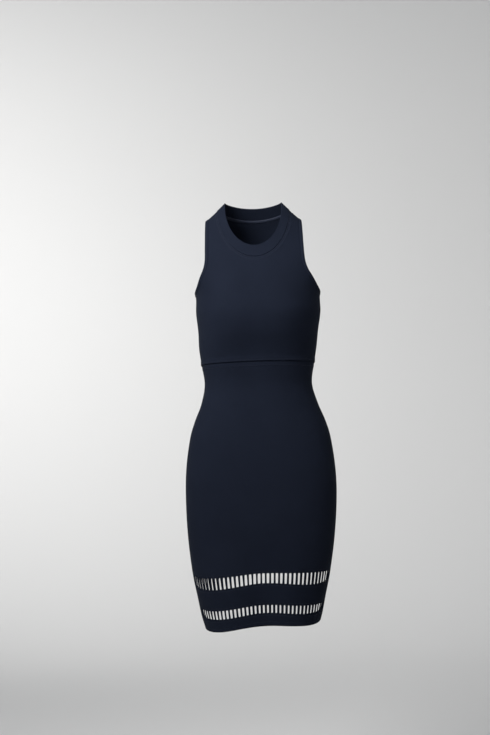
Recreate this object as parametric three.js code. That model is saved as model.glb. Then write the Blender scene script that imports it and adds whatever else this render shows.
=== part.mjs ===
// Bodycon dress in compact knit: sleeveless, with a wide neckband, cut-in armholes, a seam under
// the bust, a close skirt, and two ladders of upright slots above the hem.
// Millimetres. X points to the wearer's left, the front faces -Y and Z is up.
// The origin is midway between the places where the two straps rest on the shoulders.

import * as THREE from 'three';

// Cloth
const CLOTH = 1.6; // wall of the body panels
const DOUBLED = 2.4; // wall of the neckband and the bindings, two layers of cloth
const PROUD = 0.8; // how far those stand out from the panels beside them
const TURNED_HEM = 2.0; // wall of the hem band
const SEAM_GAP = 0.3; // space between two pieces at a seam
const BINDING_WIDTH = 7; // strip round each armhole
const LIP = { height: 5, fade: 9, out: 1.0 }; // the bodice's lower edge stands out over the skirt

// The form that the cloth follows, as level sections from the neck down. Width is half the section's
// width, front and back are its depths each side of the X axis, power is its squareness and lean is
// how far its middle stands to the side.
const SECTIONS = [
  { z: 40, width: 165, front: 30, back: 58, power: 2.3, lean: -4 },
  { z: 10, width: 165, front: 38, back: 70, power: 2.3, lean: -4 },
  { z: -30, width: 165, front: 48, back: 82, power: 2.3, lean: -4 },
  { z: -76, width: 162, front: 63, back: 93, power: 2.3, lean: -3.6 },
  { z: -101, width: 157, front: 73, back: 98, power: 2.3, lean: -3 },
  { z: -132, width: 146, front: 87, back: 102, power: 2.3, lean: -1.7 },
  { z: -176, width: 131.4, front: 103, back: 105, power: 2.35, lean: 2.4 },
  { z: -215, width: 131, front: 112, back: 102, power: 2.4, lean: 3 },
  { z: -254, width: 126.3, front: 109, back: 93, power: 2.4, lean: 2.2 },
  { z: -290, width: 123.6, front: 99, back: 84, power: 2.4, lean: 0.8 },
  { z: -322, width: 118.9, front: 91, back: 79, power: 2.4, lean: 0.4 },
  { z: -365, width: 113.2, front: 84, back: 76, power: 2.4, lean: 0.8 },
  { z: -407, width: 123, front: 85, back: 81, power: 2.45, lean: 2.6 },
  { z: -441, width: 136.8, front: 88, back: 90, power: 2.5, lean: 3 },
  { z: -475, width: 147.3, front: 92, back: 102, power: 2.6, lean: 3 },
  { z: -540, width: 156.8, front: 97, back: 117, power: 2.7, lean: 3 },
  { z: -600, width: 158.9, front: 98, back: 119, power: 2.7, lean: 3 },
  { z: -680, width: 154.9, front: 96, back: 105, power: 2.7, lean: 2 },
  { z: -760, width: 145, front: 92, back: 93, power: 2.7, lean: 0.8 },
  { z: -815, width: 134, front: 89.5, back: 87, power: 2.7, lean: 0.4 },
  { z: -848, width: 127.3, front: 88.5, back: 85, power: 2.7, lean: 0.4 },
  { z: -884, width: 117, front: 87.5, back: 83, power: 2.7, lean: 0.4 },
];

// Fullness that the bodice is cut with, one on each side.
const BUST = { x: 72, z: -205, wide: 48, high: 55, out: 12 };

// Soft waves of the lower skirt front: place, spread and how far out each one stands.
const WAVES = [
  { x: -62, spread: 45, out: 8 },
  { x: 8, spread: 30, out: -6 },
  { x: 55, spread: 36, out: 3 },
];
const WAVES_START = -650;
const WAVES_FULL = -800;

// The line over the shoulders: a cosine across the width. The depth in which it rounds into the front
// and back follows the same cosine, so that the neck opening is oval from above.
const RIDGE = { middle: 7.1, swing: 43, reach: 140, y: 6, round: 120, roundSwing: 50 };

// Neck opening. Band 0 is its free edge and band 1 its seam.
const NECK = { centre: 8, halfWidth: 59.3, drop: 85.5, widen: 17, deepen: 24.5, back: 10, backDeepen: 24 };
const NECKBAND_WIDTH = 24.5;

// Finished armhole edge from the shoulder down: half widths of the dress at front and back.
const ARMHOLE_SHOULDER = 101;
const ARMHOLE = [
  { z: -51, front: 102.3, back: 98.5 },
  { z: -80, front: 102.8, back: 98.2 },
  { z: -104, front: 103.6, back: 99.5 },
  { z: -118, front: 105.6, back: 102 },
  { z: -130, front: 109.8, back: 107 },
  { z: -142, front: 116.2, back: 113.5 },
  { z: -153, front: 121.5, back: 119.5 },
  { z: -163, front: 126.3, back: 125 },
];
const UNDERARM = -174;

// Seams and edges that run round the body, each with its height at the sides, its tilt across the
// width, its rise at the front (the back falls as much), how much further the back falls, how far it
// dips midway from front or back to the wearer's right and left side, and its turn to the wearer's
// right in degrees, at the front and back but not at the sides.
const LEVELS = {
  underbust: { z: -324.5, tilt: 2, rise: 6.5, fall: 0, dipRight: 0, dipLeft: 0, turn: 0 },
  upperSlotTop: { z: -759.5, tilt: 2.5, rise: 6, fall: 12, dipRight: 7.5, dipLeft: 2, turn: 0 },
  upperSlotFoot: { z: -782.2, tilt: 5.1, rise: 8.3, fall: 10.5, dipRight: 9, dipLeft: 7.4, turn: -1 },
  lowerSlotTop: { z: -826, tilt: 5.1, rise: 7, fall: 12.7, dipRight: 7.9, dipLeft: 5.9, turn: -1 },
  lowerSlotFoot: { z: -843.9, tilt: 6.1, rise: 8.7, fall: 12.3, dipRight: 8.2, dipLeft: 7, turn: -2.7 },
  hem: { z: -869.8, tilt: 7.8, rise: 9.3, fall: 12, dipRight: 7.5, dipLeft: 8, turn: -2.7 },
};
const TURN_EASE = 0.15;
const FALL_EASE = 0.6;
const LADDER_STRIP = 3; // narrow strip of cloth above and below the slots

// Slots in the front and back half of a ladder, and their widths.
const SLOTS = { front: 44, back: 40 };
const UPPER_SLOT = { front: 5.25, back: 6 };
const LOWER_SLOT = { front: 4.45, back: 5.05 };

// Grid sizes
const FRONT_NECK_CELLS = 24;
const BACK_NECK_CELLS = 26;
const SHOULDER_CELLS = 3;
const FRONT_CELLS = FRONT_NECK_CELLS + 2 * SHOULDER_CELLS;
const BACK_CELLS = BACK_NECK_CELLS + 2 * SHOULDER_CELLS;
const ARMHOLE_CELLS = 12;
const SIDE_CELLS = 4;
const SKIRT_ROWS = 14;
const SKIRT_ROW_BIAS = 1.35; // rows lie closer together towards the waist
const NECKBAND_ROWS = 3;
const BINDING_ROWS = 2;
const BAND_ROWS = 2;

// How finely the form is worked out: rounds for a point's height, steps for halving an interval,
// samples along a curve that is cut into equal lengths, and the small steps that give directions.
const HEIGHT_ROUNDS = 24;
const HALVINGS = 40;
const CURVE_SAMPLES = 360;
const TURN_STEP = 0.004;
const LENGTH_STEP = 0.5;
const EDGE_STEP = 0.002;

const QUARTER = Math.PI / 2;
const mix = THREE.MathUtils.lerp;
const bump = (offset, spread) => Math.exp(-0.5 * (offset / spread) ** 2);
const range = (count) => Array.from({ length: count }, (_, i) => i);

// Smooth curve through one column of the section table, each row's slope being that of the chord
// between its neighbours.
function sectionValue(key, z) {
  const last = SECTIONS.length - 1;
  if (z >= SECTIONS[0].z) return SECTIONS[0][key];
  if (z <= SECTIONS[last].z) return SECTIONS[last][key];
  const slopeAt = (k) => {
    const above = SECTIONS[Math.max(k - 1, 0)];
    const below = SECTIONS[Math.min(k + 1, last)];
    return (below[key] - above[key]) / (below.z - above.z);
  };
  let i = 0;
  while (SECTIONS[i + 1].z > z) i += 1;
  const span = SECTIONS[i + 1].z - SECTIONS[i].z;
  const t = (z - SECTIONS[i].z) / span;
  const start = SECTIONS[i][key] * (2 * t ** 3 - 3 * t ** 2 + 1);
  const end = SECTIONS[i + 1][key] * (3 * t ** 2 - 2 * t ** 3);
  const startSlope = slopeAt(i) * span * (t ** 3 - 2 * t ** 2 + t);
  const endSlope = slopeAt(i + 1) * span * (t ** 3 - t ** 2);
  return start + end + startSlope + endSlope;
}

// Radius of a rounded square section of half size 1 in the direction a.
function roundedRadius(a, power) {
  return (Math.abs(Math.sin(a)) ** power + Math.abs(Math.cos(a)) ** power) ** (-1 / power);
}

// Distance of the section's point from its middle, across the width.
function offsetAcross(a, z) {
  return sectionValue('width', z) * roundedRadius(a, sectionValue('power', z)) * Math.sin(a);
}

const ridgeSwing = (across) => Math.cos((Math.PI * Math.min(Math.abs(across), RIDGE.reach)) / RIDGE.reach);
const ridgeHeight = (across) => RIDGE.middle + RIDGE.swing * ridgeSwing(across);
const ridgeRound = (across) => RIDGE.round + RIDGE.roundSwing * ridgeSwing(across);

// Point of a level section: a is 0 at the middle of the front, 90 degrees at the wearer's left side
// and 180 degrees at the middle of the back.
function sectionPoint(a, z) {
  const across = offsetAcross(a, z);
  const facing = roundedRadius(a, sectionValue('power', z)) * Math.cos(a);
  const x = sectionValue('lean', z) + across;
  let y = -sectionValue(facing > 0 ? 'front' : 'back', z) * facing;
  if (facing > 0) {
    const sides = bump(across - BUST.x, BUST.wide) + bump(across + BUST.x, BUST.wide);
    y -= BUST.out * facing * sides * bump(z - BUST.z, BUST.high);
    const share = THREE.MathUtils.smoothstep(-z, -WAVES_START, -WAVES_FULL);
    const wave = WAVES.reduce((sum, w) => sum + w.out * bump(x - w.x, w.spread), 0);
    y -= share * facing * wave;
  }
  return new THREE.Vector3(x, y, z);
}

// Height below the ridge for a length w down the cloth, and the other way round. The first stretch
// rounds over the shoulder as a quarter of an ellipse.
function dropAt(w, across) {
  const round = ridgeRound(across);
  if (w < round * QUARTER) return round * (1 - Math.cos(w / round));
  return w - round * (QUARTER - 1);
}
function lengthAt(drop, across) {
  const round = ridgeRound(across);
  if (drop >= round) return drop + round * (QUARTER - 1);
  return round * Math.acos(1 - Math.max(drop, 0) / round);
}

// Point of the form at direction a and length w below the ridge over the shoulders.
function formPoint(a, w) {
  let z = -w;
  let across = 0;
  for (let i = 0; i < HEIGHT_ROUNDS; i += 1) {
    across = offsetAcross(a, z);
    z = ridgeHeight(across) - dropAt(w, across);
  }
  const point = sectionPoint(a, z);
  point.y = RIDGE.y + (point.y - RIDGE.y) * Math.sin(Math.min(w / ridgeRound(across), QUARTER));
  return point;
}

// How the form runs at a spot: along a, along w, and its outward direction.
function directionsAt({ a, w }) {
  const alongA = formPoint(a + TURN_STEP, w).sub(formPoint(a - TURN_STEP, w));
  const alongW = formPoint(a, w + LENGTH_STEP).sub(formPoint(a, w - LENGTH_STEP));
  alongA.divideScalar(2 * TURN_STEP);
  alongW.divideScalar(2 * LENGTH_STEP);
  const outward = alongW.clone().cross(alongA).normalize();
  return { alongA, alongW, outward };
}

// A spot on the form, from its direction and height, or from where it shows in the front view.
function spotAtHeight(a, z) {
  const across = offsetAcross(a, z);
  return { a, w: lengthAt(ridgeHeight(across) - z, across) };
}
function spotInView(across, z, atBack) {
  const power = sectionValue('power', z);
  const share = across / sectionValue('width', z);
  const facing = Math.max(1 - Math.abs(share) ** power, 0) ** (1 / power);
  const a = Math.atan2(share, facing);
  return { a: atBack ? Math.PI - a : a, w: lengthAt(ridgeHeight(across) - z, across) };
}

// Straight distance between two spots.
const apart = (one, other) => formPoint(one.a, one.w).distanceTo(formPoint(other.a, other.w));

// Parameters that cut a curve of spots into equal lengths.
function evenCuts(curve, cells) {
  const spots = range(CURVE_SAMPLES + 1).map((i) => curve(i / CURVE_SAMPLES));
  const lengths = [0];
  for (let i = 1; i <= CURVE_SAMPLES; i += 1) lengths.push(lengths[i - 1] + apart(spots[i - 1], spots[i]));
  return range(cells + 1).map((cut) => {
    const target = (lengths[CURVE_SAMPLES] * cut) / cells;
    let i = 1;
    while (i < CURVE_SAMPLES && lengths[i] < target) i += 1;
    return (i - 1 + (target - lengths[i - 1]) / (lengths[i] - lengths[i - 1])) / CURVE_SAMPLES;
  });
}

// A spot moved by a length across the direction in which an edge runs, staying on the form.
function movedAcross(spot, runA, runW, length) {
  const { alongA, alongW, outward } = directionsAt(spot);
  const run = alongA.clone().multiplyScalar(runA).addScaledVector(alongW, runW);
  const aim = outward.cross(run).normalize().multiplyScalar(length);
  const aa = alongA.dot(alongA);
  const aw = alongA.dot(alongW);
  const ww = alongW.dot(alongW);
  const scale = 1 / (aa * ww - aw * aw);
  const byA = aim.dot(alongA);
  const byW = aim.dot(alongW);
  return { a: spot.a + (ww * byA - aw * byW) * scale, w: spot.w + (aa * byW - aw * byA) * scale };
}

// A spot moved round the body by a length.
function movedRound(spot, length) {
  return { a: spot.a + length / directionsAt(spot).alongA.length(), w: spot.w };
}

// Direction and height on a seam that runs round the body, above it or below it by a length. The turn
// fades towards the sides, and the further fall of the back starts gently there.
function seamSpot(level, a, above = 0) {
  const turn = THREE.MathUtils.degToRad(level.turn);
  const turned = a + (turn * Math.cos(a)) / Math.hypot(Math.cos(a), TURN_EASE);
  const facing = Math.cos(turned);
  const deepest = Math.sin(turned) < 0 ? level.dipRight : level.dipLeft;
  const dip = deepest * Math.sin(2 * turned) ** 2;
  const share = ((1 + FALL_EASE ** 2) * facing ** 2) / (facing ** 2 + FALL_EASE ** 2);
  const fall = facing < 0 ? level.fall * share : 0;
  const z = level.z + level.tilt * Math.sin(turned) + level.rise * facing - dip - fall + above;
  return spotAtHeight(turned, z);
}
const raised = (level, height) => ({ ...level, z: level.z + height });

// Neck curves across the front and the back, from one shoulder (0) to the other (1), for a place in
// the band from its free edge (0) to its seam (1).
function neckSpot(band, t, atBack) {
  const halfWidth = NECK.halfWidth + NECK.widen * band;
  const drop = NECK.drop + NECK.deepen * band;
  const heightAt = (angle) => NECK.centre - drop * Math.cos(angle);
  let low = QUARTER / 2;
  let high = Math.PI * 0.75;
  for (let i = 0; i < HALVINGS; i += 1) {
    const middle = (low + high) / 2;
    if (heightAt(middle) < ridgeHeight(halfWidth * Math.sin(middle))) low = middle;
    else high = middle;
  }
  const side = 2 * t - 1;
  if (!atBack) return spotInView(halfWidth * Math.sin(low * side), heightAt(low * side), false);
  const end = halfWidth * Math.sin(low);
  const middleHeight = NECK.back - NECK.backDeepen * band;
  const across = -Math.sin(QUARTER * side);
  return spotInView(end * across, mix(middleHeight, ridgeHeight(end), across ** 2), true);
}

// Armhole edge of the wearer's left, from the shoulder down the front, under the arm (0.5) and up the
// back, as one smooth curve in the spots' own units.
const shoulderSpot = spotInView(ARMHOLE_SHOULDER, ridgeHeight(ARMHOLE_SHOULDER), false);
const armholeSpots = [
  shoulderSpot,
  ...ARMHOLE.map((row) => spotInView(row.front, row.z, false)),
  spotAtHeight(QUARTER, UNDERARM),
  ...ARMHOLE.map((row) => spotInView(row.back, row.z, true)).reverse(),
  { a: Math.PI - shoulderSpot.a, w: 0 },
];
const CURVE_UNIT = 130; // length of one radian in the curve's plane
const armholeCurve = new THREE.CatmullRomCurve3(
  armholeSpots.map((spot) => new THREE.Vector3(spot.a * CURVE_UNIT, spot.w, 0)),
);
const armholeSpot = (t) => {
  const point = armholeCurve.getPoint(t);
  return { a: point.x / CURVE_UNIT, w: point.y };
};
const FRONT_CUTS = evenCuts((t) => armholeSpot(t / 2), ARMHOLE_CELLS).map((t) => t / 2);
const BACK_CUTS = evenCuts((t) => armholeSpot((1 + t) / 2), ARMHOLE_CELLS).map((t) => (1 + t) / 2);

// The armhole curve moved into the cloth. It keeps to the shoulder line and to the side seam.
function armholeInset(t, inset) {
  const spot = armholeSpot(t);
  if (t > 0 && t < 1) {
    const ahead = armholeSpot(t + EDGE_STEP);
    const behind = armholeSpot(t - EDGE_STEP);
    const moved = movedAcross(spot, ahead.a - behind.a, ahead.w - behind.w, -inset);
    return t === 0.5 ? { a: QUARTER, w: moved.w } : moved;
  }
  const alongRidge = directionsAt({ a: shoulderSpot.a, w: 0 }).alongA.length();
  const a = shoulderSpot.a - inset / alongRidge;
  return { a: t > 0 ? Math.PI - a : a, w: 0 };
}

const mirrored = (spot) => ({ a: -spot.a, w: spot.w });
const aroundBack = (spot) => ({ a: 2 * Math.PI + spot.a, w: spot.w });

// A closed wall from a grid of spots, rows from below upwards and columns in the direction of a.
// Outer points stand out from the form, and inner points lie one wall thickness inside them.
function wall(name, spots, { thickness, out = () => 0, ring = false, hole = () => false }) {
  const rows = spots.length;
  const columns = spots[0].length;
  const positions = [];
  for (const depth of [0, thickness]) {
    for (const spot of spots.flat()) {
      const { outward } = directionsAt(spot);
      const point = formPoint(spot.a, spot.w).addScaledVector(outward, out(spot) - depth);
      positions.push(point.x, point.y, point.z);
    }
  }
  const outer = (row, column) => row * columns + (column % columns);
  const inner = (row, column) => rows * columns + outer(row, column);
  const lastColumn = ring ? columns : columns - 1;
  const filled = (row, column) => {
    if (row < 0 || row >= rows - 1) return false;
    if (!ring && (column < 0 || column >= lastColumn)) return false;
    return !hole(row, (column + lastColumn) % lastColumn);
  };
  const vertex = (index) => new THREE.Vector3().fromArray(positions, index * 3);
  const faces = [];
  const quad = (p, q, r, s) => {
    if (vertex(p).distanceTo(vertex(r)) <= vertex(q).distanceTo(vertex(s))) faces.push(p, q, r, p, r, s);
    else faces.push(p, q, s, q, r, s);
  };
  for (const row of range(rows - 1)) {
    for (const column of range(lastColumn)) {
      if (!filled(row, column)) continue;
      const corners = [[row, column], [row, column + 1], [row + 1, column + 1], [row + 1, column]];
      const [a, b, c, d] = corners.map(([i, j]) => outer(i, j));
      const [e, f, g, h] = corners.map(([i, j]) => inner(i, j));
      quad(a, b, c, d);
      quad(e, h, g, f);
      if (!filled(row - 1, column)) quad(e, f, b, a);
      if (!filled(row + 1, column)) quad(d, c, g, h);
      if (!filled(row, column - 1)) quad(e, a, d, h);
      if (!filled(row, column + 1)) quad(b, f, g, c);
    }
  }
  const geometry = new THREE.BufferGeometry();
  geometry.setAttribute('position', new THREE.Float32BufferAttribute(positions, 3));
  geometry.setIndex(faces);
  geometry.computeVertexNormals();
  const material = new THREE.MeshStandardMaterial({ color: 0x1e2432, roughness: 0.85, metalness: 0 });
  material.name = 'navy_knit';
  const mesh = new THREE.Mesh(geometry, material);
  mesh.name = name;
  return mesh;
}

// Directions along a seam that cut its front or back half into equal lengths.
function seamCuts(level, cells, atBack) {
  const start = atBack ? QUARTER : -QUARTER;
  const spot = (t) => seamSpot(level, start + Math.PI * t);
  return evenCuts(spot, cells).map((t) => start + Math.PI * t);
}

// Spots of a seam's half, with a little space left at the two side seams.
function seamRow(level, cuts, above) {
  const last = cuts.length - 1;
  return cuts.map((a, i) => {
    const spot = seamSpot(level, a, above);
    if (i === 0) return movedRound(spot, SEAM_GAP / 2);
    return i === last ? movedRound(spot, -SEAM_GAP / 2) : spot;
  });
}

// Bodice half. Its grid blends the underbust seam into the shoulder and neck line, and adds what the
// side seam and armhole stand out from the straight line between their ends, fading to the middle.
function bodice(name, atBack) {
  const cells = atBack ? BACK_CELLS : FRONT_CELLS;
  const neckCells = atBack ? BACK_NECK_CELLS : FRONT_NECK_CELLS;
  const foot = seamRow(LEVELS.underbust, seamCuts(LEVELS.underbust, cells, atBack), SEAM_GAP / 2);

  const inset = BINDING_WIDTH + SEAM_GAP;
  const cuts = atBack ? BACK_CUTS : [...FRONT_CUTS].reverse();
  const edge = cuts.map((t) => armholeInset(t, inset));
  edge[0] = movedRound(edge[0], atBack ? SEAM_GAP / 2 : -SEAM_GAP / 2);
  edge[edge.length - 1].w = SEAM_GAP / 2;
  const sideFoot = atBack ? foot[0] : foot[cells];
  const lipRows = [LIP.height, LIP.height + LIP.fade].map((up) => sideFoot.w - up);
  const sideRows = range(SIDE_CELLS).map((i) => mix(lipRows[1], edge[0].w, (i + 1) / SIDE_CELLS));
  const sideSeam = [sideFoot.w, ...lipRows, ...sideRows.slice(0, -1)].map((w) => ({
    a: mix(sideFoot.a, edge[0].a, (sideFoot.w - w) / (sideFoot.w - edge[0].w)),
    w,
  }));
  const side = [...sideSeam, ...edge];
  const otherSide = side.map((spot) => (atBack ? aroundBack(mirrored(spot)) : mirrored(spot)));
  const [first, last] = atBack ? [side, otherSide] : [otherSide, side];

  const neckBand = 1 + SEAM_GAP / NECKBAND_WIDTH;
  const neck = evenCuts((t) => neckSpot(neckBand, t, atBack), neckCells).map((t) => {
    const spot = neckSpot(neckBand, t, atBack);
    return { a: spot.a, w: Math.max(spot.w, SEAM_GAP / 2) };
  });
  const top = side.length - 1;
  const shoulder = (from, to) => range(SHOULDER_CELLS).map((i) => mix(from, to, i / SHOULDER_CELLS));
  const across = [
    ...shoulder(first[top].a, neck[0].a).map((a) => ({ a, w: SEAM_GAP / 2 })),
    ...neck.slice(0, -1),
    ...shoulder(neck[neckCells].a, last[top].a).map((a) => ({ a, w: SEAM_GAP / 2 })),
    last[top],
  ];

  const lengths = [0];
  for (const row of range(top)) lengths.push(lengths[row] + apart(side[row], side[row + 1]));
  const blended = (row, column, key) => {
    const v = lengths[row] / lengths[top];
    const u = column / cells;
    const straight = mix(foot[column][key], across[column][key], v);
    const firstExtra = first[row][key] - mix(first[0][key], first[top][key], v);
    const lastExtra = last[row][key] - mix(last[0][key], last[top][key], v);
    return straight + firstExtra * (1 - u) ** 2 + lastExtra * u ** 2;
  };
  const spots = range(top + 1).map((row) => range(cells + 1).map((column) => {
    if (column === 0) return first[row];
    if (column === cells) return last[row];
    return { a: blended(row, column, 'a'), w: blended(row, column, 'w') };
  }));
  const lip = ({ a, w }) => {
    const up = seamSpot(LEVELS.underbust, a).w - w;
    return LIP.out * (1 - THREE.MathUtils.smoothstep(up, LIP.height, LIP.height + LIP.fade));
  };
  return wall(name, spots, { thickness: CLOTH, out: lip });
}

// Neckband: one ring, from its seam up to its free edge.
function neckband() {
  const station = (atBack, cells) => {
    const cuts = evenCuts((t) => neckSpot(1, t, atBack), cells);
    return cuts.slice(0, -1).map((t) => ({ t, atBack }));
  };
  const stations = [...station(false, FRONT_NECK_CELLS), ...station(true, BACK_NECK_CELLS)];
  const spots = range(NECKBAND_ROWS + 1).map((row) => {
    const band = 1 - row / NECKBAND_ROWS;
    return stations.map(({ t, atBack }) => neckSpot(band, t, atBack));
  });
  return wall('neckband', spots, { thickness: DOUBLED, out: () => PROUD, ring: true });
}

// Armhole binding: one ring, from its seam out to the free edge.
function armholeBinding(name, onRight) {
  const cuts = [...FRONT_CUTS, ...BACK_CUTS.slice(1, -1)];
  const spots = range(BINDING_ROWS + 1).map((row) => {
    const inset = BINDING_WIDTH * (1 - row / BINDING_ROWS);
    const loop = cuts.map((t) => armholeInset(t, inset));
    return onRight ? loop.map(mirrored).reverse() : loop;
  });
  return wall(name, spots, { thickness: DOUBLED, out: () => PROUD, ring: true });
}

// Plain stretch between two seams that run round the body.
function stretch(name, upper, lower, atBack, { rows, bias = 1, thickness = CLOTH }) {
  const cells = atBack ? BACK_CELLS : FRONT_CELLS;
  const top = seamRow(upper, seamCuts(upper, cells, atBack), -SEAM_GAP / 2);
  const lift = lower === LEVELS.hem ? 0 : SEAM_GAP / 2;
  const foot = seamRow(lower, seamCuts(lower, cells, atBack), lift);
  const spots = range(rows + 1).map((row) => {
    const v = 1 - (1 - row / rows) ** bias;
    return foot.map((spot, i) => ({ a: mix(spot.a, top[i].a, v), w: mix(spot.w, top[i].w, v) }));
  });
  return wall(name, spots, { thickness });
}

// Ladder of slots: a strip above, a strip below and upright bars between. Half a bar lies at each end.
function ladder(name, levels, slotWidth, slots, atBack) {
  const shares = (level) => {
    const cuts = seamCuts(level, slots, atBack);
    const pitch = apart(seamSpot(level, cuts[0]), seamSpot(level, cuts[1]));
    const margin = (1 - slotWidth / pitch) / 2;
    const slotEdges = (i) => [mix(cuts[i], cuts[i + 1], margin), mix(cuts[i + 1], cuts[i], margin)];
    return [cuts[0], ...range(slots).flatMap(slotEdges), cuts[slots]];
  };
  const [top, slotTop, slotFoot, foot] = levels;
  const spots = [
    seamRow(foot, shares(foot), SEAM_GAP / 2),
    seamRow(slotFoot, shares(slotFoot), 0),
    seamRow(slotTop, shares(slotTop), 0),
    seamRow(top, shares(top), -SEAM_GAP / 2),
  ];
  const hole = (row, column) => row === 1 && column % 2 === 1;
  return wall(name, spots, { thickness: CLOTH, hole });
}

const dress = new THREE.Group();
dress.add(bodice('bodice_front', false), bodice('bodice_back', true));
dress.add(neckband());
dress.add(armholeBinding('armhole_binding_left', false), armholeBinding('armhole_binding_right', true));

const { underbust, upperSlotTop, upperSlotFoot, lowerSlotTop, lowerSlotFoot, hem } = LEVELS;
const upperTop = raised(upperSlotTop, LADDER_STRIP);
const upperFoot = raised(upperSlotFoot, -LADDER_STRIP);
const lowerTop = raised(lowerSlotTop, LADDER_STRIP);
const lowerFoot = raised(lowerSlotFoot, -LADDER_STRIP);
for (const [half, atBack] of [['front', false], ['back', true]]) {
  const skirtRows = { rows: SKIRT_ROWS, bias: SKIRT_ROW_BIAS };
  const upper = [upperTop, upperSlotTop, upperSlotFoot, upperFoot];
  const lower = [lowerTop, lowerSlotTop, lowerSlotFoot, lowerFoot];
  dress.add(stretch(`skirt_${half}`, underbust, upperTop, atBack, skirtRows));
  dress.add(ladder(`ladder_upper_${half}`, upper, UPPER_SLOT[half], SLOTS[half], atBack));
  dress.add(stretch(`band_middle_${half}`, upperFoot, lowerTop, atBack, { rows: BAND_ROWS }));
  dress.add(ladder(`ladder_lower_${half}`, lower, LOWER_SLOT[half], SLOTS[half], atBack));
  const hemRows = { rows: BAND_ROWS, thickness: TURNED_HEM };
  dress.add(stretch(`hem_band_${half}`, lowerFoot, hem, atBack, hemRows));
}

export default dress;
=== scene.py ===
# Looks of a sleeveless bodycon dress in compact knit, with its worn form held open. Every cut piece is
# a knit shell with rounded edges, with the relief of its seams and its rows of stitches.
# Lengths are in millimetres in the maths and in metres in the meshes. X points to the wearer's left,
# the front faces -Y and Z is up.

import math

import bpy
import numpy as np
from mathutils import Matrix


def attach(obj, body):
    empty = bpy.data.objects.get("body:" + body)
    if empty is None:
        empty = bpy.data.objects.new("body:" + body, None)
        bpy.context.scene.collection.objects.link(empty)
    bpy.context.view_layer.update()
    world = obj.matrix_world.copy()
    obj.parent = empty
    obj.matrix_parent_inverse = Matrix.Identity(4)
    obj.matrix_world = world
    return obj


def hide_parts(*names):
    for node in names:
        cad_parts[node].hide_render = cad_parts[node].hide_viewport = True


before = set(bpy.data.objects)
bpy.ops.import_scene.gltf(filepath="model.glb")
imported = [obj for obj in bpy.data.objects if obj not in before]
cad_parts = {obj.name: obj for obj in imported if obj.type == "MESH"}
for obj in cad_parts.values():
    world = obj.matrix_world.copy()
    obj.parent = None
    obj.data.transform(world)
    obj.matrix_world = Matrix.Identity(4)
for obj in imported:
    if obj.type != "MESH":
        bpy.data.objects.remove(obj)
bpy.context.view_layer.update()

MM = 0.001
QUARTER = math.pi / 2

# Cloth, as in the part's source
CLOTH = 1.6
DOUBLED = 2.4
PROUD = 0.8
TURNED_HEM = 2.0
SEAM_GAP = 0.04  # the solids keep more space than the sewn cloth
BINDING_WIDTH = 7
NECKBAND_WIDTH = 24.5
LIP_HEIGHT, LIP_FADE, LIP_OUT = 5, 9, 1.0
LADDER_STRIP = 3
SLOTS = (44, 40)  # front, back
UPPER_SLOT = (5.25, 6)
LOWER_SLOT = (4.45, 5.05)

# Raised and sunk lines of the cloth: how far out, place across the line, spread
LIP_BEAD = (0.45, 1.8, 0.9)
NECK_RIDGE, NECK_GROOVE = (0.42, 4.2, 1.3), (-0.1, 1, 0.9)
UNDERBUST_RIDGE, UNDERBUST_HOLLOW = (0.32, 9, 1.1), (-0.3, 1.5, 1.6)
BAND_SEAM_ROLL, BAND_FREE_ROLL = (0.35, 0.06, 0.05), (0.3, 0.9, 0.1)  # places as shares of the band

# Puckers beside the neckband: how far out, waves in a radian, fade away from the seam, then where they
# gather to the left and right of the neck in radians, how wide, and the right ones' share of the left
PUCKER_OUT, PUCKER_WAVES, PUCKER_FADE = 0.3, 52, 9
PUCKER_SIDE, PUCKER_WIDE, PUCKER_RIGHT = 1.3, 0.4, 0.3

# Level sections of the form: height, half width, front depth, back depth, squareness, lean
SECTIONS = np.array([
    (-884, 117, 87.5, 83, 2.7, 0.4),
    (-848, 127.3, 88.5, 85, 2.7, 0.4),
    (-815, 134, 89.5, 87, 2.7, 0.4),
    (-760, 145, 92, 93, 2.7, 0.8),
    (-680, 154.9, 96, 105, 2.7, 2),
    (-600, 158.9, 98, 119, 2.7, 3),
    (-540, 156.8, 97, 117, 2.7, 3),
    (-475, 147.3, 92, 102, 2.6, 3),
    (-441, 136.8, 88, 90, 2.5, 3),
    (-407, 123, 85, 81, 2.45, 2.6),
    (-365, 113.2, 84, 76, 2.4, 0.8),
    (-322, 118.9, 91, 79, 2.4, 0.4),
    (-290, 123.6, 99, 84, 2.4, 0.8),
    (-254, 126.3, 109, 93, 2.4, 2.2),
    (-215, 131, 112, 102, 2.4, 3),
    (-176, 131.4, 103, 105, 2.35, 2.4),
    (-132, 146, 87, 102, 2.3, -1.7),
    (-101, 157, 73, 98, 2.3, -3),
    (-76, 162, 63, 93, 2.3, -3.6),
    (-30, 165, 48, 82, 2.3, -4),
    (10, 165, 38, 70, 2.3, -4),
    (40, 165, 30, 58, 2.3, -4),
])
WIDTH, FRONT, BACK, POWER, LEAN = range(1, 6)

BUST_X, BUST_Z, BUST_WIDE, BUST_HIGH, BUST_OUT = 72, -205, 48, 55, 12
WAVES = [(-62, 45, 8), (8, 30, -6), (55, 36, 3)]  # place, spread, out
WAVES_START, WAVES_FULL = -650, -800
RIDGE_MIDDLE, RIDGE_SWING, RIDGE_REACH, RIDGE_Y = 7.1, 43, 140, 6
RIDGE_ROUND, RIDGE_ROUND_SWING = 120, 50

NECK_CENTRE, NECK_HALF_WIDTH, NECK_DROP = 8, 59.3, 85.5
NECK_WIDEN, NECK_DEEPEN, NECK_BACK, NECK_BACK_DEEPEN = 17, 24.5, 10, 24
NECK_MEAN_RADIUS = 93  # of the seam

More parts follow.
